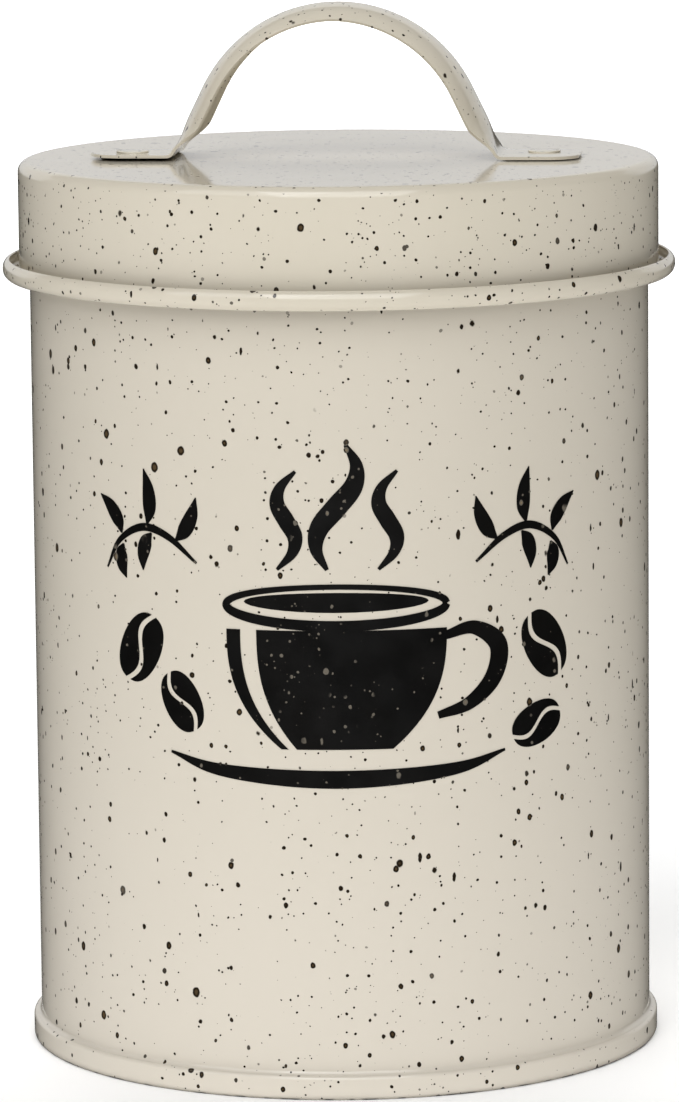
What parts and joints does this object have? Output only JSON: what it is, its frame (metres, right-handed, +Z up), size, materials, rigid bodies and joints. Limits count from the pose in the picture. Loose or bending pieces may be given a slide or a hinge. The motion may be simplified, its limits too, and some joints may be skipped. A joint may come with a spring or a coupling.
{
  "type": "coffee canister",
  "caption": "Round painted steel kitchen canister with a slip-over lid, an arched strap handle fixed by rivets, and a seamed foot.",
  "frame": {"origin": "centre of the foot, on the surface that the canister stands on", "axes": "+Z up along the canister's axis, +X along the handle, -Y towards the printed front"},
  "size_m": [0.1304, 0.1304, 0.2024],
  "materials": {
    "speckled_enamel": "satin-gloss warm cream paint on sheet steel, with fine dark brown spatter",
    "base_enamel": "the same cream paint on the seam and the recessed bottom, lightly rubbed where it stands",
    "motif_ink": "satin black ink printed on the paint"
  },
  "bodies": {
    "canister": {"body_wall": "speckled_enamel", "base_plate": "base_enamel"},
    "lid": {"lid_cap": "speckled_enamel", "handle_strap": "speckled_enamel", "rivet_left": "speckled_enamel", "rivet_right": "speckled_enamel"}
  },
  "joints": [
    {"name": "lid_lift", "type": "slide", "parent": "canister", "child": "lid", "axis": [0, 0, 1], "range_m": [0, 0.12]}
  ]
}
